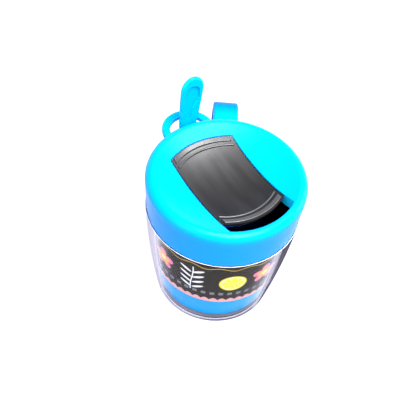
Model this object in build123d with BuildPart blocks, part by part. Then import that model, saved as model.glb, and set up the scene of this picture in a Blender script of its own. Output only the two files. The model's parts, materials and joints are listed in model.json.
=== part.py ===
"""A lidded double-walled mug with a sliding drinking shutter, and a spoon that stands in a loop on its lid.

Millimetres. The origin is the centre of the base and +Z is up. The drinking mouth is at the front (-Y),
the shutter slides along Y, and the spoon loop is at the back. The handle and the spoon have bearings of
their own, counted from +X towards +Y.
"""

from build123d import *
import math
import os

os.makedirs("parts", exist_ok=True)

# Cup body: the outer profile is one gentle arc that bulges from the line between its two radii
cup_height = 78.4
cup_top_radius = 49.3
cup_base_radius = 39.4
side_bulge = 1.25
base_edge_radius = 2.0
jacket_wall = 1.8
jacket_floor = 2.0
rim_lip = 1.0

# Liner: the inner cup, whose flange seats in the jacket's rim
wall_gap = 0.9
liner_wall = 1.8
liner_floor = 2.0
liner_lift = 2.4
liner_edge_radius = 4.0
flange_thickness = 1.8
flange_clearance = 0.2
neck_step = 3.1
neck_wall = 1.8
neck_height = 23.2
neck_bead_height = 0.9
neck_bead_rise = 6.0
throat_drop = 6.0

# Paper sleeve between the walls
label_thickness = 0.25
label_clearance = 0.3
label_bottom = 29.0
label_top_gap = 0.7
label_slit = 0.8

# Handle
handle_bearing = 55.6
handle_projection = 43.7
handle_width = 17.3
handle_thickness = 5.0
handle_edge_radius = 1.8
handle_top = 84.0
handle_top_root = 69.2
handle_bottom = 21.0
handle_inward_lean = 7.0
handle_shoulder_radius = 16.0
handle_corner_radius = 12.0
handle_knee_reach = 14.4
foot_height = 17.0
foot_width = 18.0
foot_depth = 4.5
foot_corner_radius = 4.0
tongue_height = 9.0
tongue_width = 8.0
tongue_depth = 2.4
tongue_corner_radius = 2.0
glue_gap = 0.15

# Lid: it presses on, and a bead inside its skirt snaps under the neck's bead
lid_flare = 0.7
skirt_setback = 0.6
lid_height = 28.1
lid_gap = 0.3
lid_wall = 2.2
shoulder_radius = 5.0
crest_edge_radius = 3.0
dish_radius = 104.0
top_thickness = 1.8
ceiling_drop = 3.0
skirt_lead_in = 0.4
bead_radius = 0.6
bead_spacing = 2.8
bead_clearance = 0.3

# Gasket
gasket_thickness = 1.7
gasket_clearance = 0.2
neck_seal_gap = 0.3
channel_rib_inset = 1.3
channel_rib_width = 1.4
channel_rib_drop = 4.6

# Shutter track, a trough that follows the dish
slot_half_width = 23.1
slot_crest_margin = 1.0
slot_far_setback = 8.7
track_wall = 1.6
track_drop = 7.0
track_end_setback = 0.5
track_floor = 1.6
mouth_length = 10.9

# Shutter
shutter_travel = 5.1
shutter_thickness = 1.8
shutter_sink = 0.2
shutter_side_gap = 0.5
shutter_float = 0.3
rib_height = 1.1
rib_edge_radius = 0.4
rib_side_margin = 2.2
outer_rib_width = 3.2
rib_groove_width = 2.0
inner_rib_width = 1.1
rib_end_margin = 0.5
stem_length = 12.0
stem_width = 5.6
stem_clearance = 0.3
clip_length = 24.0
clip_width = 15.0
clip_thickness = 1.6
clip_fit = 0.1
clip_corner_radius = 3.0
barb_height = 0.9
barb_overhang = 0.5
barb_length = 6.0

# Spoon loop
loop_bearing = 86.3
loop_centre_inset = 0.8
loop_outer_radius = 17.3
loop_inner_radius = 12.1
loop_thickness = 3.2
loop_top_drop = 6.0
loop_edge_radius = 0.8

# Spoon: it stands on the table in the loop, with its face against the lid
spoon_bearing = 85.9
spoon_face_gap = 0.3
spoon_table_gap = 0.3
spoon_lean = 2.6
spoon_length = 140.8
spoon_thickness = 2.6
strap_setback = 0.4
spoon_edge_radius = 1.1
paddle_half_width = 7.7
paddle_end_drop = 9.5
stem_half_width = 5.85
spoon_neck_half_width = 3.4
thumb_dish_depth = 0.9
thumb_dish_half_width = 4.9
thumb_dish_end_margin = 6.5
thumb_dish_length = 25.0
bowl_length = 45.0
bowl_width = 30.0
bowl_depth = 8.0
bowl_wall = 1.5


def polar(radius, bearing, height=0.0):
    """The point at a radius and a bearing about the cup's axis."""
    angle = math.radians(bearing)
    return Vector(radius * math.cos(angle), radius * math.sin(angle), height)


def facing_plane(inset, height):
    """An upright plane across the handle's bearing, an inset inside the cup's side at a height."""
    out = polar(1, handle_bearing)
    return Plane(origin=polar(side(height)[0] - inset, handle_bearing, height), x_dir=(0, 0, 1), z_dir=out)


# The cup's side: the circle through the top and the base of its profile, with that bulge at mid height
side_chord = math.hypot(cup_height, cup_top_radius - cup_base_radius)
side_sagitta = side_bulge * cup_height / side_chord
side_arc_radius = (side_chord**2 / 4 + side_sagitta**2) / (2 * side_sagitta)
side_centre_offset = (side_arc_radius - side_sagitta) / side_chord
side_centre_r = (cup_top_radius + cup_base_radius) / 2 - side_centre_offset * cup_height
side_centre_z = cup_height / 2 + side_centre_offset * (cup_top_radius - cup_base_radius)


def side(height, inset=0.0):
    """The profile point of the cup's side at a height, moved inward by an inset."""
    rise = height - side_centre_z
    return (side_centre_r + math.sqrt((side_arc_radius - inset) ** 2 - rise**2), height)


def side_arc(low, high, inset=0.0):
    """The arc of the cup's side between two heights, inside a BuildLine."""
    return ThreePointArc(side(low, inset), side((low + high) / 2, inset), side(high, inset))


# Heights that several pieces share
ledge_height = cup_height - flange_thickness
liner_base = jacket_floor + liner_lift
liner_inset = jacket_wall + wall_gap
neck_radius = cup_top_radius - neck_step
neck_top = cup_height + neck_height
neck_bead = neck_radius + neck_bead_height
neck_bead_level = cup_height + neck_bead_rise
lid_radius = cup_top_radius + lid_flare
skirt_radius = cup_top_radius - skirt_setback
lid_bottom = cup_height + lid_gap
lid_top = lid_bottom + lid_height
ceiling = lid_top - ceiling_drop
crest_radius = lid_radius - shoulder_radius
slot_end_radius = crest_radius - slot_crest_margin
slot_far_end = slot_end_radius - slot_far_setback
dish_centre = lid_top + math.sqrt(dish_radius**2 - crest_radius**2)
above_lid = lid_top + shoulder_radius
under_track = dish_centre - dish_radius - 2 * track_drop


with BuildPart() as jacket:
    with BuildSketch(Plane.XZ):
        with BuildLine():
            Line((0, 0), side(0))
            side_arc(0, cup_height)
            Line(side(cup_height), (cup_top_radius - rim_lip, cup_height))
            Line((cup_top_radius - rim_lip, cup_height), (cup_top_radius - rim_lip, ledge_height))
            Line((cup_top_radius - rim_lip, ledge_height), side(ledge_height, jacket_wall))
            side_arc(jacket_floor, ledge_height, jacket_wall)
            Line(side(jacket_floor, jacket_wall), (0, jacket_floor))
            Line((0, jacket_floor), (0, 0))
        make_face()
    revolve(axis=Axis.Z)
    fillet(jacket.edges().filter_by(GeomType.CIRCLE).group_by(Axis.Z)[0], base_edge_radius)
    # Two tongues that the feet of the handle are glued over
    for height in (handle_top_root, handle_bottom):
        with BuildSketch(facing_plane(jacket_wall / 2, height)):
            RectangleRounded(tongue_height, tongue_width, tongue_corner_radius)
        extrude(amount=jacket_wall / 2 + tongue_depth)
jacket.part.label = "jacket"
export_step(jacket.part, "parts/jacket.step")


with BuildPart() as liner:
    with BuildSketch(Plane.XZ):
        inner_inset = liner_inset + liner_wall
        floor_height = liner_base + liner_floor
        throat = ledge_height - throat_drop
        neck_bore = neck_radius - neck_wall
        flange_radius = cup_top_radius - rim_lip - flange_clearance
        with BuildLine():
            Line((0, liner_base), side(liner_base, liner_inset))
            side_arc(liner_base, ledge_height, liner_inset)
            Line(side(ledge_height, liner_inset), (flange_radius, ledge_height))
            Line((flange_radius, ledge_height), (flange_radius, cup_height))
            Line((flange_radius, cup_height), (neck_radius, cup_height))
            Line((neck_radius, cup_height), (neck_radius, neck_top))
            Line((neck_radius, neck_top), (neck_bore, neck_top))
            Line((neck_bore, neck_top), (neck_bore, cup_height))
            Line((neck_bore, cup_height), side(throat, inner_inset))
            side_arc(floor_height, throat, inner_inset)
            Line(side(floor_height, inner_inset), (0, floor_height))
            Line((0, floor_height), (0, liner_base))
        make_face()
        with Locations((neck_bead - bead_radius, neck_bead_level)):
            Circle(bead_radius)
    revolve(axis=Axis.Z)
    rings = liner.edges().filter_by(GeomType.CIRCLE)
    fillet(rings.group_by(Axis.Z)[0], liner_edge_radius)
    fillet(rings.group_by(Axis.Z)[1], liner_edge_radius - liner_wall)
    fillet(liner.edges().filter_by(GeomType.CIRCLE).group_by(Axis.Z)[-1], neck_wall / 3)
liner.part.label = "liner"
export_step(liner.part, "parts/liner.step")


with BuildPart() as label_wrap:
    outer_inset = jacket_wall + label_clearance
    paper_inset = outer_inset + label_thickness
    label_top = ledge_height - label_top_gap
    with BuildSketch(Plane.XZ):
        with BuildLine():
            side_arc(label_bottom, label_top, outer_inset)
            Line(side(label_top, outer_inset), side(label_top, paper_inset))
            side_arc(label_bottom, label_top, paper_inset)
            Line(side(label_bottom, paper_inset), side(label_bottom, outer_inset))
        make_face()
    revolve(axis=Axis.Z)
    # The ends of the sleeve meet behind the handle
    with BuildSketch(Plane(origin=(0, 0, 0), x_dir=polar(1, handle_bearing), z_dir=(0, 0, 1))):
        with Locations((cup_top_radius / 2, 0)):
            Rectangle(cup_top_radius, label_slit)
    extrude(amount=cup_height, mode=Mode.SUBTRACT)
label_wrap.part.label = "label_wrap"
export_step(label_wrap.part, "parts/label_wrap.step")


# What the handle's feet are trimmed to: the jacket's side and tongues, grown by the glue gap
with BuildPart() as jacket_clearance:
    with BuildSketch(Plane.XZ):
        with BuildLine():
            Line((0, 0), side(0, -glue_gap))
            side_arc(0, cup_height, -glue_gap)
            Line(side(cup_height, -glue_gap), (0, cup_height))
            Line((0, cup_height), (0, 0))
        make_face()
    revolve(axis=Axis.Z)
    for height in (handle_top_root, handle_bottom):
        with BuildSketch(facing_plane(jacket_wall, height)):
            RectangleRounded(tongue_height + 2 * glue_gap, tongue_width + 2 * glue_gap, tongue_corner_radius)
        extrude(amount=jacket_wall + tongue_depth + glue_gap)


with BuildPart() as handle:
    half_strap = handle_thickness / 2
    outward = polar(1, handle_bearing)
    side_plane = Plane(origin=(0, 0, 0), x_dir=outward, z_dir=outward.cross(Vector(0, 0, 1)))
    top_root = (side(handle_top_root)[0] + half_strap, handle_top_root + half_strap)
    bottom_root = (side(handle_bottom)[0] + half_strap, handle_bottom)
    top_knee = (top_root[0] + handle_knee_reach, handle_top)
    top_corner = (cup_top_radius + handle_projection, handle_top)
    bottom_corner = (cup_top_radius + handle_projection - handle_inward_lean, handle_bottom)
    bend_radii = [handle_shoulder_radius, handle_corner_radius, handle_shoulder_radius]
    with BuildLine(side_plane) as route:
        FilletPolyline(top_root, top_knee, top_corner, bottom_corner, bottom_root, radius=bend_radii)
    with BuildSketch(Plane(origin=route.line @ 0, x_dir=side_plane.z_dir, z_dir=route.line % 0)):
        RectangleRounded(handle_width, handle_thickness, handle_edge_radius)
    sweep(path=route.line)
    # The feet spread the load over the jacket
    for height in (handle_top_root, handle_bottom):
        with BuildSketch(facing_plane(foot_depth, height)):
            RectangleRounded(foot_height, foot_width, foot_corner_radius)
        extrude(amount=2 * foot_depth)
    add(jacket_clearance.part, mode=Mode.SUBTRACT)
handle.part.label = "handle"
export_step(handle.part, "parts/handle.step")


def slot_prism(grow):
    """The upright prism on the outline of the shutter's slot: straight sides and two arc ends."""
    with BuildPart() as prism:
        with BuildSketch(Plane.XY.offset(under_track)):
            Rectangle(2 * (slot_half_width + grow), 4 * slot_end_radius)
            Circle(slot_end_radius + grow, mode=Mode.INTERSECT)
            with Locations((0, slot_far_end - slot_end_radius)):
                Circle(slot_end_radius + grow, mode=Mode.INTERSECT)
        extrude(amount=above_lid - under_track)
    return prism.part


def dish_ball(depth):
    """The ball whose underside lies a depth below the lid's dished top."""
    with BuildPart() as ball:
        with Locations((0, 0, dish_centre)):
            Sphere(dish_radius + depth, rotation=(0, -90, 0))
    return ball.part


floor_depth = shutter_sink + shutter_thickness + shutter_float

# The trough's walls hang below the lid's top, and stay inside the cup's neck
with BuildPart() as track_walls:
    add(slot_prism(track_wall))
    add(dish_ball(track_drop), mode=Mode.INTERSECT)
    add(dish_ball(top_thickness / 2), mode=Mode.SUBTRACT)
    with BuildSketch(Plane.XY.offset(under_track)):
        Circle(slot_end_radius - track_end_setback)
    extrude(amount=above_lid - under_track, mode=Mode.INTERSECT)

# The shutter runs on the trough's floor, which stops short of the drinking mouth
with BuildPart() as track_bed:
    add(slot_prism(track_wall / 2))
    add(dish_ball(floor_depth + track_floor), mode=Mode.INTERSECT)
    add(dish_ball(floor_depth), mode=Mode.SUBTRACT)
    with BuildSketch(Plane.XY.offset(under_track)):
        with Locations((0, mouth_length)):
            Circle(slot_end_radius)
    extrude(amount=above_lid - under_track, mode=Mode.INTERSECT)
    # The stem of the shutter slides in this slot
    stem_travel = math.sin(math.radians(shutter_travel)) * (dish_radius + floor_depth + track_floor)
    with BuildSketch(Plane.XY.offset(under_track)):
        with Locations((0, -stem_travel / 2)):
            Rectangle(stem_width + 2 * stem_clearance, stem_length + stem_travel + 2 * stem_clearance)
    extrude(amount=above_lid - under_track, mode=Mode.SUBTRACT)


# The loop stands out of the lid's skirt, and the skirt closes its hole
with BuildPart() as loop:
    loop_top = lid_top - loop_top_drop
    with BuildSketch(Plane.XY.offset(loop_top - loop_thickness)):
        with Locations(polar(lid_radius - loop_centre_inset, loop_bearing)):
            Circle(loop_outer_radius)
            Circle(loop_inner_radius, mode=Mode.SUBTRACT)
    extrude(amount=loop_thickness)
    fillet(loop.edges().filter_by(GeomType.CIRCLE), loop_edge_radius)
    with BuildSketch(Plane.XY.offset(loop_top - loop_thickness)):
        Circle(lid_radius - lid_wall / 2)
    extrude(amount=loop_thickness, mode=Mode.SUBTRACT)


with BuildPart() as lid_cap:
    channel_rib_outer = neck_radius - channel_rib_inset
    channel_rib_inner = channel_rib_outer - channel_rib_width
    rib_root = dish_centre - math.sqrt((dish_radius + top_thickness) ** 2 - channel_rib_inner**2)
    rib_bottom = lid_top - channel_rib_drop
    shoulder = lid_top - shoulder_radius
    skirt_bore = lid_radius - lid_wall
    diagonal = shoulder_radius * math.sqrt(0.5)
    dish_middle = crest_radius / 2
    with BuildSketch(Plane.XZ):
        with BuildLine():
            Line((skirt_radius, lid_bottom), (lid_radius, shoulder))
            ThreePointArc(
                (lid_radius, shoulder),
                (crest_radius + diagonal, shoulder + diagonal),
                (crest_radius, lid_top),
            )
            ThreePointArc(
                (crest_radius, lid_top),
                (dish_middle, dish_centre - math.sqrt(dish_radius**2 - dish_middle**2)),
                (0, dish_centre - dish_radius),
            )
            Line((0, dish_centre - dish_radius), (0, dish_centre - dish_radius - top_thickness))
            ThreePointArc(
                (0, dish_centre - dish_radius - top_thickness),
                (dish_middle, dish_centre - math.sqrt((dish_radius + top_thickness) ** 2 - dish_middle**2)),
                (channel_rib_inner, rib_root),
            )
            Line((channel_rib_inner, rib_root), (channel_rib_inner, rib_bottom))
            Line((channel_rib_inner, rib_bottom), (channel_rib_outer, rib_bottom))
            Line((channel_rib_outer, rib_bottom), (channel_rib_outer, ceiling))
            Line((channel_rib_outer, ceiling), (skirt_bore, ceiling))
            Line((skirt_bore, ceiling), (skirt_bore, lid_bottom + skirt_lead_in))
            Line((skirt_bore, lid_bottom + skirt_lead_in), (skirt_bore + skirt_lead_in, lid_bottom))
            Line((skirt_bore + skirt_lead_in, lid_bottom), (skirt_radius, lid_bottom))
        make_face()
        with Locations((neck_bead + bead_clearance + bead_radius, neck_bead_level - bead_spacing)):
            Circle(bead_radius)
    revolve(axis=Axis.Z)
    fillet(lid_cap.edges().filter_by(GeomType.CIRCLE).sort_by(Axis.Z)[-1], crest_edge_radius)
    add(track_walls.part)
    add(slot_prism(0), mode=Mode.SUBTRACT)
    add(track_bed.part)
    add(loop.part)
lid_cap.part.label = "lid_cap"
export_step(lid_cap.part, "parts/lid_cap.step")


with BuildPart() as lid_gasket:
    gasket_inner = channel_rib_outer + gasket_clearance
    gasket_outer = skirt_bore - gasket_clearance
    with BuildSketch(Plane.XY.offset(neck_top + neck_seal_gap)):
        Circle(gasket_outer)
        Circle(gasket_inner, mode=Mode.SUBTRACT)
    extrude(amount=gasket_thickness)
    fillet(lid_gasket.edges(), gasket_thickness / 4)
lid_gasket.part.label = "lid_gasket"
export_step(lid_gasket.part, "parts/lid_gasket.step")


def turned_open(part):
    """The part as it lies with the shutter open, from its place with the shutter closed."""
    return part.rotate(Axis((0, 0, dish_centre), (1, 0, 0)), shutter_travel)


def end_band(end, start, stop, height):
    """A raised arc that follows one end of the open shutter, between two distances in from it."""
    opened_by = math.radians(shutter_travel) * dish_radius
    centre = opened_by if end < 0 else slot_far_end - slot_end_radius
    outer = slot_end_radius - shutter_side_gap - start
    with BuildPart() as band:
        with BuildSketch(Plane.XY.offset(under_track)):
            Rectangle(2 * (slot_half_width - shutter_side_gap - rib_side_margin), 4 * slot_end_radius)
            with Locations((0, centre)):
                Circle(outer, mode=Mode.INTERSECT)
                Circle(outer - (stop - start), mode=Mode.SUBTRACT)
            with Locations((0, centre + end * slot_end_radius)):
                Rectangle(4 * slot_half_width, 2 * slot_end_radius, mode=Mode.INTERSECT)
        extrude(amount=above_lid - under_track)
        add(dish_ball(shutter_sink + shutter_thickness / 2), mode=Mode.INTERSECT)
        add(dish_ball(shutter_sink - height), mode=Mode.SUBTRACT)
        crown = band.faces().filter_by(GeomType.SPHERE).sort_by(Axis.Z)[-1]
        fillet(crown.edges(), rib_edge_radius)
    return band.part


# The stem goes down through the floor and the clip, and ends in a barb
stem_depth = floor_depth + track_floor + shutter_float + clip_thickness + clip_fit
with BuildPart() as stem:
    with BuildSketch(Plane.XY.offset(under_track)):
        Rectangle(stem_width, stem_length)
    extrude(amount=above_lid - under_track)
    add(dish_ball(stem_depth), mode=Mode.INTERSECT)
    add(dish_ball(shutter_sink + shutter_thickness / 2), mode=Mode.SUBTRACT)

with BuildPart() as barb:
    with BuildSketch(Plane.XY.offset(under_track)):
        Rectangle(stem_width + 2 * barb_overhang, barb_length)
    extrude(amount=above_lid - under_track)
    add(dish_ball(stem_depth + barb_height), mode=Mode.INTERSECT)
    add(dish_ball(stem_depth), mode=Mode.SUBTRACT)


with BuildPart() as shutter:
    # The plate is what the slot leaves room for both with the shutter open and with it closed
    add(slot_prism(-shutter_side_gap))
    add(turned_open(slot_prism(-shutter_side_gap)), mode=Mode.INTERSECT)
    add(dish_ball(shutter_sink + shutter_thickness), mode=Mode.INTERSECT)
    add(dish_ball(shutter_sink), mode=Mode.SUBTRACT)
    inner_rib_start = rib_end_margin + outer_rib_width + rib_groove_width
    for end in (-1, 1):
        add(end_band(end, rib_end_margin, rib_end_margin + outer_rib_width, rib_height))
        add(end_band(end, inner_rib_start, inner_rib_start + inner_rib_width, rib_height))
    add(stem.part)
    add(barb.part)
shutter.part.label = "shutter"
export_step(shutter.part, "parts/shutter.step")


with BuildPart() as shutter_clip:
    with BuildSketch(Plane.XY.offset(under_track)):
        RectangleRounded(clip_width, clip_length, clip_corner_radius)
        Rectangle(stem_width + 2 * clip_fit, stem_length + 2 * clip_fit, mode=Mode.SUBTRACT)
    extrude(amount=above_lid - under_track)
    clip_depth = floor_depth + track_floor + shutter_float
    add(dish_ball(clip_depth + clip_thickness), mode=Mode.INTERSECT)
    add(dish_ball(clip_depth), mode=Mode.SUBTRACT)
shutter_clip.part.label = "shutter_clip"
export_step(shutter_clip.part, "parts/shutter_clip.step")


# The plane of the bowl's rim: x runs across the spoon, y up its length, z out of its back, away from
# the cup. The strap's face lies a little behind it.
spoon_out = polar(1, spoon_bearing)
spoon_origin = polar(lid_radius + spoon_face_gap, spoon_bearing, loop_top - loop_thickness / 2)
spoon_across = Vector(0, 0, 1).cross(spoon_out).rotate(Axis((0, 0, 0), spoon_out), spoon_lean)
spoon_plane = Plane(origin=spoon_origin, x_dir=spoon_across, z_dir=spoon_out)
strap_plane = spoon_plane.offset(strap_setback)
spoon_section = Plane(origin=spoon_plane.origin, x_dir=spoon_plane.z_dir, z_dir=-spoon_plane.x_dir)
spoon_tip = (spoon_table_gap - spoon_origin.Z) / spoon_plane.y_dir.Z
spoon_rise = spoon_tip + spoon_length
bowl_top = spoon_tip + bowl_length
bowl_round = ((bowl_width / 2) ** 2 + bowl_depth**2) / (2 * bowl_depth)
bowl_axis_offset = bowl_round - bowl_depth


def bowl_solid(wall):
    """The bowl's round form, less a wall, as a solid turned about an axis in front of the spoon."""
    axis_start = spoon_plane.from_local_coords((0, 0, -bowl_axis_offset))
    deepest = spoon_tip + bowl_length / 2
    with BuildPart() as form:
        with BuildSketch(spoon_section):
            with BuildLine():
                ThreePointArc(
                    (-wall, spoon_tip + wall),
                    (bowl_depth - wall, deepest),
                    (-wall, bowl_top - wall),
                )
                Line((-wall, bowl_top - wall), (-bowl_axis_offset, bowl_top - wall))
                Line((-bowl_axis_offset, bowl_top - wall), (-bowl_axis_offset, spoon_tip + wall))
                Line((-bowl_axis_offset, spoon_tip + wall), (-wall, spoon_tip + wall))
            make_face()
        revolve(axis=Axis(axis_start, spoon_plane.y_dir))
    return form.part


# The bowl is round in section and cut flat at its rim
with BuildPart() as bowl:
    add(bowl_solid(0))
    with BuildSketch(spoon_plane):
        with Locations((0, (spoon_tip + bowl_top) / 2)):
            Rectangle(2 * bowl_width, 2 * bowl_length)
    extrude(amount=2 * bowl_depth, mode=Mode.INTERSECT)


with BuildPart() as spoon:
    with BuildSketch(strap_plane):
        with BuildLine():
            shoulder_line = spoon_rise - paddle_end_drop
            strap_end = bowl_top - spoon_neck_half_width
            EllipticalCenterArc(
                (0, shoulder_line), paddle_half_width, paddle_end_drop, start_angle=0, arc_size=90
            )
            flank = Spline(
                (paddle_half_width, shoulder_line),
                (stem_half_width, 0),
                (spoon_neck_half_width, bowl_top),
                tangents=[(0, -1), (0, -1)],
            )
            Line(flank @ 1, (spoon_neck_half_width, strap_end))
            mirror(about=Plane.YZ)
            Line((spoon_neck_half_width, strap_end), (-spoon_neck_half_width, strap_end))
        make_face()
    extrude(amount=spoon_thickness)
    end_face = spoon.faces().sort_by(Axis(spoon_plane.origin, spoon_plane.y_dir))[0]
    fillet(spoon.faces().filter_by(strap_plane).edges() - end_face.edges(), spoon_edge_radius)
    # The thumb dish, on the face towards the cup, runs out in a point
    with BuildSketch(strap_plane):
        thumb_top = spoon_rise - thumb_dish_end_margin
        with BuildLine():
            Spline(
                (0, thumb_top),
                (thumb_dish_half_width, thumb_top - thumb_dish_half_width),
                (0, thumb_top - thumb_dish_length),
                tangents=[(1, 0), (-0.25, -1)],
            )
            mirror(about=Plane.YZ)
        make_face()
    extrude(amount=thumb_dish_depth, mode=Mode.SUBTRACT)
    # The strap's end inside the bowl goes with the hollow, which leaves an even wall
    add(bowl.part)
    add(bowl_solid(bowl_wall), mode=Mode.SUBTRACT)
spoon.part.label = "spoon"
export_step(spoon.part, "parts/spoon.step")
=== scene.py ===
"""A lidded double-walled cup with a sliding drinking shutter, and a spoon that stands in a loop on its lid.

Metres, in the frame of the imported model: the origin is the centre of the base, +Z is up and the drinking
mouth is at the front (-Y). Only the printed card counts in millimetres, as its comment says.
"""

import json
import math

import bmesh
import bpy
from mathutils import Matrix, Vector


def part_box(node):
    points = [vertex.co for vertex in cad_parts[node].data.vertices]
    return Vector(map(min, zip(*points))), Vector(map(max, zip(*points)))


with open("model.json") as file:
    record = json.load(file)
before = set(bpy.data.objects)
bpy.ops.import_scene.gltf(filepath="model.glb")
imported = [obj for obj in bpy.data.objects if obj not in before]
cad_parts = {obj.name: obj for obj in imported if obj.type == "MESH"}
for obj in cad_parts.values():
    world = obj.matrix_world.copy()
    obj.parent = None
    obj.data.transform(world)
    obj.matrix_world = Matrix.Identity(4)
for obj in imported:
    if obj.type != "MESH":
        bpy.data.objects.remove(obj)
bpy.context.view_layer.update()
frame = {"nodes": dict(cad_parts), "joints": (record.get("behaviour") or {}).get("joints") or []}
nodes = frame["nodes"]


# The camera looks down on the cup from the left of its mouth, from about half a metre away.
camera_place = Vector((-0.2006, -0.2384, 0.4482))
camera_forward = Vector((0.397, 0.4975, -0.7713)).normalized()
camera_up = Vector((0.3755, 0.6788, 0.6311))
camera_right = camera_forward.cross(camera_up).normalized()
camera_up = camera_right.cross(camera_forward)

camera = bpy.data.objects.new("camera", bpy.data.cameras.new("camera"))
bpy.context.scene.collection.objects.link(camera)
camera.data.sensor_width = 36
camera.data.lens = 65.43
camera.matrix_world = Matrix.Translation(camera_place) @ Matrix(
    (camera_right, camera_up, -camera_forward)
).transposed().to_4x4()
bpy.context.scene.camera = camera
bpy.context.scene.view_settings.view_transform = "Standard"


# The table and the room: a pale sheet that burns out to white, a dim room above it, and soft lamps.
# Every material here and below is made with the two small classes of this section.
class Value:
    """A number that a shader works out. Sums, products and comparisons of values add their Math nodes."""

    def __init__(self, shader, socket):
        self.shader = shader
        self.socket = socket

    def math(self, operation, *others):
        inputs = dict(enumerate((self, *others)))
        return self.shader.value("ShaderNodeMath", {"operation": operation}, inputs)

    def __add__(self, other):
        return self.math("ADD", other)

    def __sub__(self, other):
        return self.math("SUBTRACT", other)

    def __rsub__(self, other):
        return self.math("MULTIPLY", -1) + other

    def __mul__(self, other):
        return self.math("MULTIPLY", other)

    def __truediv__(self, other):
        return self.math("DIVIDE", other)

    def __pow__(self, other):
        return self.math("POWER", other)

    def __abs__(self):
        return self.math("ABSOLUTE")

    def at_least(self, other):
        return self.math("MAXIMUM", other)

    def at_most(self, other):
        return self.math("MINIMUM", other)

    def below(self, limit, softness=0.0001):
        """1 where the value is under a limit and 0 where it is over it, with a soft edge."""
        return ((limit - self) / softness + 0.5).at_least(0).at_most(1)


class Shader:
    """A material and its one surface node, with a method that adds any other node."""

    def __init__(self, name, colour, roughness, **sockets):
        self.material = bpy.data.materials.new(name)
        self.material.use_nodes = True
        self.nodes = self.material.node_tree.nodes
        self.links = self.material.node_tree.links
        self.surface = self.nodes["Principled BSDF"]
        self.set("Base Color", (*colour, 1))
        self.set("Roughness", roughness)
        for socket, value in sockets.items():
            self.set(socket.replace("_", " "), value)

    def set(self, socket, value):
        self.plug(self.surface.inputs[socket], value)

    def plug(self, socket, value):
        if isinstance(value, Value):
            self.links.new(value.socket, socket)
        else:
            socket.default_value = value

    def value(self, kind, settings, inputs, output=0):
        """Adds a node, with its settings first, then its inputs, and returns one of its outputs."""
        node = self.nodes.new(kind)
        for name, setting in settings.items():
            if name == "levels":
                self.levels(node.color_ramp, setting)
            else:
                setattr(node, name, setting)
        for name, given in inputs.items():
            self.plug(node.inputs[name], given)
        return Value(self, node.outputs[output])

    def levels(self, ramp, levels):
        """Sets a colour ramp to grey levels, from pairs of a value and the level that it gets."""
        while len(ramp.elements) < len(levels):
            ramp.elements.new(0.5)
        for element, (place, level) in zip(ramp.elements, levels):
            element.position = place
            element.color = (level, level, level, 1)

    def ramp(self, value, levels):
        return self.value("ShaderNodeValToRGB", {"levels": levels}, {"Fac": value})

    def place(self):
        """The point on the piece, in metres, and its three parts."""
        point = self.value("ShaderNodeTexCoord", {}, {}, "Object")
        parts = [self.value("ShaderNodeSeparateXYZ", {}, {0: point}, axis) for axis in "XYZ"]
        return point, *parts

    def noise(self, point, scale, detail=2.0, roughness=0.5):
        inputs = {"Vector": point, "Scale": scale, "Detail": detail, "Roughness": roughness}
        return self.value("ShaderNodeTexNoise", {}, inputs, "Fac")

    def stretch(self, point, scale):
        return self.value("ShaderNodeMapping", {}, {"Vector": point, "Scale": scale})

    def mix(self, mask, under, over):
        """The over colour where the mask is 1, and the under colour where it is 0."""
        given = [value if isinstance(value, Value) else (*value, 1) for value in (under, over)]
        inputs = {0: mask, 6: given[0], 7: given[1]}
        return self.value("ShaderNodeMix", {"data_type": "RGBA"}, inputs, 2)

    def bump(self, height, distance):
        """Raises the surface by a height of 0 to 1, times a distance in metres."""
        self.set("Normal", self.value("ShaderNodeBump", {}, {"Height": height, "Distance": distance}))


def dress(piece, shader):
    """Gives a piece one material, in place of what it came with."""
    piece.data.materials.clear()
    piece.data.materials.append(shader.material)


def lamp(name, place, aim, size, power, colour=(1, 1, 1)):
    light = bpy.data.objects.new(name, bpy.data.lights.new(name, "AREA"))
    bpy.context.scene.collection.objects.link(light)
    light.data.size = size
    light.data.energy = power
    light.data.color = colour
    light.location = place
    light.rotation_euler = (Vector(aim) - Vector(place)).to_track_quat("-Z", "Y").to_euler()


def finished(name, mesh_maker):
    """The object that holds a finished bmesh, at the origin."""
    mesh = bpy.data.meshes.new(name)
    mesh_maker.to_mesh(mesh)
    mesh_maker.free()
    piece = bpy.data.objects.new(name, mesh)
    bpy.context.scene.collection.objects.link(piece)
    return piece


table_radius = 7.0
table_edge_rise = 1.6
table_glow = (0.8, 0.8, 1, 1)
table_glow_strength = 1.24
room_colour = (0.75, 0.85, 1.0, 1)
room_strength = 0.08

table_maker = bmesh.new()
bmesh.ops.create_circle(table_maker, cap_ends=True, segments=96, radius=table_radius)
raised = bmesh.ops.extrude_edge_only(table_maker, edges=table_maker.edges[:])["geom"]
raised = [corner for corner in raised if isinstance(corner, bmesh.types.BMVert)]
bmesh.ops.translate(table_maker, verts=raised, vec=(0, 0, table_edge_rise))
table = finished("table", table_maker)
table_sheet = Shader("table_sheet", (0.1, 0.1, 0.1), 0.9, Emission_Color=table_glow, Specular_IOR_Level=0.0)
table_sheet.set("Emission Strength", table_glow_strength)
dress(table, table_sheet)

room = bpy.data.worlds.new("room")
room.use_nodes = True
room.node_tree.nodes["Background"].inputs["Color"].default_value = room_colour
room.node_tree.nodes["Background"].inputs["Strength"].default_value = room_strength
bpy.context.scene.world = room

lamp("key_lamp", (0.02, -0.5, 1.5), (0, 0, 0.08), 0.9, 66)
lamp("left_lamp", (-0.85, -0.1, 0.5), (0, 0, 0.05), 0.4, 2.5, (0.75, 0.88, 1.0))
lamp("small_lamp", (-0.47, -0.26, 1.15), (0, 0, 0.1), 0.1, 2)
lamp("right_lamp", (0.9, -0.25, 0.4), (0, 0, 0.05), 0.3, 2.5)
lamp("far_lamp", (0.58, -0.02, 1.2), (0, 0.03, 0.1), 0.35, 6.5)


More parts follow.
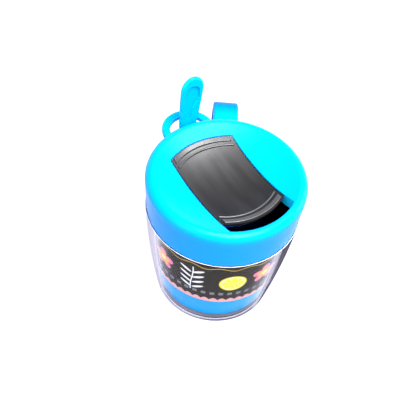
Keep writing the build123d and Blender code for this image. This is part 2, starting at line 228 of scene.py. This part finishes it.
# The jacket: the clear outer wall, moulded in polystyrene. The blue liner and the card sleeve show
# through it. Its outline and its foot are drawn in a solid grey that stands in for light bouncing about
# in its thick wall. That grey stays darker on the handle's side and is painted paler on the side that
# faces the lamps, a painted highlight. Its rim is painted near black inside a radius of 49 mm, a painted
# shade, and white outside it, a painted highlight.
jacket_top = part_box("jacket")[1].z
foot_thickness = 0.0044
rim_thickness = 0.0002
rim_line_radius = 0.04902
outline_narrowing = 1.8
sheen_levels = [(0.5, 0.001), (0.6, 0.01), (0.68, 0.1), (0.75, 0.45), (1.0, 0.1)]
outline_levels = [(0.745, 0.0), (0.78, 0.88), (1.0, 0.97)]
painted_light_side = (-0.84, 0.54)
painted_light_reach = 0.045
clear_white = (1.0, 1.0, 1.0)
dark_grey = (0.058, 0.050, 0.070)
light_grey = (0.084, 0.074, 0.098)
painted_light_grey = (0.70, 0.64, 0.68)
painted_rim_shade = (0.01, 0.01, 0.02)
painted_rim_highlight = (0.9, 0.92, 0.95)


def span(first, *others):
    """The straight distance that a few steps at right angles to each other make."""
    total = first * first
    for step in others:
        total = total + step * step
    return total ** 0.5


def clear_plastic():
    """Clear where the wall faces the eye, with a sheen and then a solid grey as it turns away."""
    shader = Shader("clear_wall", clear_white, 0.12, Specular_IOR_Level=0.0)
    point, x, y, height = shader.place()
    turned = shader.value("ShaderNodeLayerWeight", {}, {"Blend": 0.5}, "Facing")
    turned = turned + (height - jacket_top) * outline_narrowing
    foot = height.below(foot_thickness, 0.0008) * 0.8
    rim = 1 - height.below(jacket_top - rim_thickness, 0.0002)
    solid = shader.ramp(turned, outline_levels).at_least(foot).at_least(rim)
    filled = (solid * 1.2).at_most(1)
    haze = shader.noise(shader.stretch(point, (1.0, 1.0, 0.3)), 90)
    grey = shader.mix(haze, dark_grey, light_grey)
    # Painted light: the grey of the outline and the foot turns paler towards the side that faces the lamps.
    painted_light_mask = (x * painted_light_side[0] + y * painted_light_side[1]) / painted_light_reach
    grey = shader.mix(painted_light_mask.at_least(0).at_most(1), grey, painted_light_grey)
    # Painted shade and painted highlight on the rim: near black inside the circle, white outside it.
    painted_rim_colour = shader.mix(1 - span(x, y).below(rim_line_radius), painted_rim_shade, painted_rim_highlight)
    shader.set("Base Color", shader.mix(filled, clear_white, shader.mix(rim, grey, painted_rim_colour)))
    shader.set("Metallic", 1 - filled)
    shader.set("Roughness", filled * 0.18 + haze * 0.04 + 0.1)
    shader.set("Alpha", shader.ramp(turned, sheen_levels).at_least(solid))
    return shader


dress(nodes["jacket"], clear_plastic())


# The liner: the inner cup, moulded in the lid's blue and pressed into the jacket's rim by its flange.
# The blue plastic has a fine moulded grain and slightly uneven gloss. The cup's inside is painted a deep
# blue, a painted shade, as little light gets into it.
lid_blue = (0.0, 0.32, 0.86)
liner_blue = (0.0, 0.36, 0.86)
inside_shade_blue = (0.0, 0.035, 0.12)
liner_floor_height = 0.0054
wall_middle_at_foot = 0.0358
wall_middle_flare = 0.0099
wall_middle_bulge = 0.005
wall_middle_at_neck = 0.0453


def blue_plastic(name, colour=lid_blue):
    shader = Shader(name, colour, 0.25, Specular_IOR_Level=0.07)
    point, *_ = shader.place()
    shader.set("Roughness", shader.noise(point, 60, 3) * 0.08 + 0.21)
    shader.bump(shader.noise(point, 2600), 0.00003)
    return shader


def liner_plastic():
    """The blue outside, and a painted shade of deep blue on what lies inside the middle of the wall and over
    the floor.
    """
    shader = blue_plastic("liner_plastic")
    _, x, y, height = shader.place()
    rise = height / jacket_top
    wall_middle = rise * wall_middle_flare + rise * (1 - rise) * wall_middle_bulge + wall_middle_at_foot
    inside_wall = span(x, y).below(wall_middle.at_most(wall_middle_at_neck), 0.0002)
    over_floor = 1 - height.below(liner_floor_height, 0.0002)
    shader.set("Base Color", shader.mix(inside_wall * over_floor, liner_blue, inside_shade_blue))
    return shader


dress(nodes["liner"], liner_plastic())


# The sleeve: a printed card tucked between the jacket and the liner. Its charcoal ground carries a
# plain repeat of a sprig, a citrus slice and a flower, over a scalloped border. Its sizes are in
# millimetres along the card and up from the table.
card_radius = 46.0
card_repeat = 2 * math.pi * card_radius / 4
small_repeat = card_repeat / 12
card_front = (-0.643, -0.766)
charcoal = ((0.026, 0.022, 0.016), (0.040, 0.034, 0.026))
border_pink = (0.80, 0.42, 0.40)
border_top, scallop_depth = 31.6, 2.6
wave_gold = (0.62, 0.45, 0.10)
wave_height, wave_depth, wave_half_width = 71.5, 1.1, 0.35
rind_yellow, pith_cream, flesh_green = (0.86, 0.78, 0.02), (0.90, 0.90, 0.55), (0.80, 0.86, 0.05)
rind_radius, pith_radius, flesh_radius = 9.0, 7.9, 7.0
slice_place, slice_height = 14.0, 54.5
sprig_white = (0.86, 0.87, 0.84)
sprig_place, sprig_height = -13.0, 54.5
leaf_spacing, leaf_out, leaf_rise = 6.0, 4.2, 0.55
leaf_half_length, leaf_half_width = 3.9, 1.25
petal_pink, petal_orange, flower_yellow = (0.86, 0.24, 0.36), (0.90, 0.45, 0.12), (0.95, 0.86, 0.20)
flower_place, flower_height = -card_repeat / 2, 57.0
petal_reach, petal_heart, flower_eye = 9.5, 6.2, 2.2
square_grey = (0.22, 0.22, 0.24)
square_height, square_half_width = 40.5, 1.6


def printed_card():
    shader = Shader("printed_card", charcoal[0], 0.55, Specular_IOR_Level=0.1)
    point, x, y, height = shader.place()
    sideways = x * -card_front[1] + y * card_front[0]
    along = sideways.math("ARCTAN2", x * card_front[0] + y * card_front[1]) * card_radius
    up = height * 1000

    def across(place):
        """How far a point lies to the side of the nearest motif that stands at a place of the repeat."""
        half = card_repeat / 2
        return (along - place + half).math("FLOORED_MODULO", card_repeat) - half

    fibres = shader.noise(point, 900, 3)
    colour = shader.mix(fibres, *charcoal)

    scallop = abs((along * (math.pi / small_repeat)).math("SINE"))
    border = up.below(scallop * scallop_depth + border_top, 0.25)
    colour = shader.mix(border, colour, border_pink)

    wave = (along * (8 * math.pi / card_repeat)).math("SINE") * wave_depth + wave_height
    line = abs(up - wave).below(wave_half_width, 0.15)
    colour = shader.mix(line, colour, wave_gold)

    aside, above = across(slice_place), up - slice_height
    from_middle = span(aside, above)
    turn = aside.math("ARCTAN2", above)
    segment_walls = abs((turn * 4).math("COSINE")).below(0.22, 0.08)
    flesh = from_middle.below(flesh_radius, 0.2) * (1 - segment_walls)
    colour = shader.mix(from_middle.below(rind_radius, 0.2), colour, rind_yellow)
    colour = shader.mix(from_middle.below(pith_radius, 0.2), colour, pith_cream)
    colour = shader.mix(flesh, colour, flesh_green)

    aside, above = across(sprig_place), up - sprig_height
    sway = (above * 0.16).math("SINE") * 0.8
    stem = abs(aside - sway).below(0.4, 0.15) * abs(above).below(14.0, 0.3)
    in_pair = (above + 2 * leaf_spacing).math("FLOORED_MODULO", leaf_spacing)
    reach = abs(aside)
    leaf_long = (reach - leaf_out) / leaf_half_length
    leaf_high = (in_pair - 1.2 - reach * leaf_rise) / leaf_half_width
    leaves = span(leaf_long, leaf_high).below(1.0, 0.12) * abs(above - 0.5).below(12.5, 0.2)
    colour = shader.mix(stem.at_least(leaves), colour, sprig_white)

    aside, above = across(flower_place), up - flower_height
    from_middle = span(aside, above)
    turn = aside.math("ARCTAN2", above)
    petals = from_middle / (abs((turn * 2.5).math("COSINE")) * 0.45 + 0.55)
    colour = shader.mix(petals.below(petal_reach, 0.3), colour, petal_pink)
    colour = shader.mix(petals.below(petal_heart, 0.5), colour, petal_orange)
    colour = shader.mix(from_middle.below(flower_eye, 0.3), colour, flower_yellow)

    aside = (along + small_repeat / 4).math("FLOORED_MODULO", small_repeat) - small_repeat / 2
    square = abs(aside).below(square_half_width, 0.2) * abs(up - square_height).below(square_half_width, 0.2)
    colour = shader.mix(square, colour, square_grey)
    shader.set("Base Color", colour)
    shader.bump(fibres, 0.00003)
    return shader


dress(nodes["label_wrap"], printed_card())


# The handle: a flat strap bent round to two feet, which are glued over tongues on the jacket. Its
# blue is painted deeper where the strap bends away from the cup, a painted shade where it turns from the
# light.
bend_shade_start = 0.074
bend_shade_length = 0.012
bend_shade_blue = (0.0, 0.13, 0.48)


def handle_plastic():
    shader = blue_plastic("handle_plastic")
    _, x, y, _ = shader.place()
    bend_shade = ((span(x, y) - bend_shade_start) / bend_shade_length).at_least(0).at_most(1)
    # Painted shade: the blue deepens with distance from the cup's axis.
    shader.set("Base Color", shader.mix(bend_shade, lid_blue, bend_shade_blue))
    return shader


dress(nodes["handle"], handle_plastic())


# The lid: one blue moulding that presses on the neck. Its top is dished, with a trough for the
# shutter and a loop for the spoon. The side walls of the trough are painted a paler blue, a painted
# light, and the skirt a little deeper blue, a painted shade on its upright side.
shutter_joint = next(joint for joint in frame["joints"] if joint["name"] == "shutter_slide")
dish_centre_height = shutter_joint["pos_m"][2]
skirt_shade_blue = (0.0, 0.285, 0.86)
trough_light_blue = (0.01, 0.66, 1.0)
skirt_top = 0.099
crest_radius = 0.0455
trough_side = 0.0231
trough_top_from_centre = 0.1043


def lid_plastic():
    shader = blue_plastic("lid_plastic")
    _, x, y, height = shader.place()
    from_centre = span(x, y, dish_centre_height - height)
    under_dish = 1 - from_centre.below(trough_top_from_centre)
    trough_wall = abs(abs(x) - trough_side).below(0.0003) * span(x, y).below(crest_radius, 0.0002)
    # Painted shade on the skirt, and painted light on the trough's side walls below.
    blue = shader.mix(height.below(skirt_top, 0.004), lid_blue, skirt_shade_blue)
    shader.set("Base Color", shader.mix(trough_wall * under_dish, blue, trough_light_blue))
    return shader


dress(nodes["lid_cap"], lid_plastic())


# The gasket: a soft silicone ring in the lid's channel, which seals on the neck. It is pale and
# cloudy, and a little dusty to the touch.
cloudy_white = ((0.62, 0.64, 0.66), (0.78, 0.80, 0.82))


def silicone():
    shader = Shader("silicone", cloudy_white[0], 0.5, Subsurface_Weight=0.2)
    point, *_ = shader.place()
    dust = shader.noise(point, 700, 4, 0.6)
    shader.set("Base Color", shader.mix(dust, *cloudy_white))
    shader.set("Roughness", dust * 0.2 + 0.4)
    shader.bump(dust, 0.00003)
    return shader


dress(nodes["lid_gasket"], silicone())


# The shutter: a black plate, curved to the lid's dish, that slides in the trough on a stem, which a
# clip holds from below. Sliding has drawn faint streaks along it. Its far end is painted lighter, a
# painted sheen, the tops of its bars, which give the thumb a hold, are painted a lighter grey, a
# painted highlight, and its two sides are painted near black, a painted shade on their rounded edges.
fresh_black, streak_and_sheen_black = (0.006, 0.005, 0.006), (0.040, 0.039, 0.040)
near_bar_highlight, far_bar_highlight = (0.058, 0.056, 0.058), (0.046, 0.044, 0.046)
side_shade_black = (0.003, 0.003, 0.003)
far_sheen_start = -0.024
far_sheen_length = 0.052
bar_top_from_centre = 0.1036
plate_side = 0.0219


def black_plastic():
    shader = Shader("black_plastic", fresh_black, 0.3, Specular_IOR_Level=0.8)
    point, x, y, height = shader.place()
    streaks = shader.noise(shader.stretch(point, (1.0, 0.1, 1.0)), 160, 3, 0.55)
    # Painted sheen: the plate grows lighter towards its far end, with the streaks on top.
    far_sheen = ((y - far_sheen_start) / far_sheen_length).at_least(0).at_most(1) ** 2
    plate = shader.mix(streaks * 0.4 + far_sheen * 0.6, fresh_black, streak_and_sheen_black)
    bars = span(x, y, dish_centre_height - height).below(bar_top_from_centre, 0.0003)
    # Painted highlight: the tops of the bars are a lighter grey.
    colour = shader.mix(bars, plate, shader.mix(far_sheen, near_bar_highlight, far_bar_highlight))
    # Painted shade: the two sides of the plate are near black.
    shader.set("Base Color", shader.mix(abs(x).below(plate_side, 0.0003), side_shade_black, colour))
    shader.set("Roughness", streaks * 0.2 + 0.24 - bars * 0.06)
    shader.bump(streaks * 0.8 + shader.noise(point, 1800) * 0.2, 0.00003)
    return shader


black = black_plastic()
dress(nodes["shutter"], black)
dress(nodes["shutter_clip"], black)


# The spoon: one blue moulding, with a thumb dish on its paddle, that stands in the lid's loop with
# its bowl just over the table. Its blue is painted a little brighter than the lid's, a painted light on
# its upright paddle.
spoon_lit_blue = (0.0, 0.44, 0.86)
dress(nodes["spoon"], blue_plastic("spoon_plastic", spoon_lit_blue))
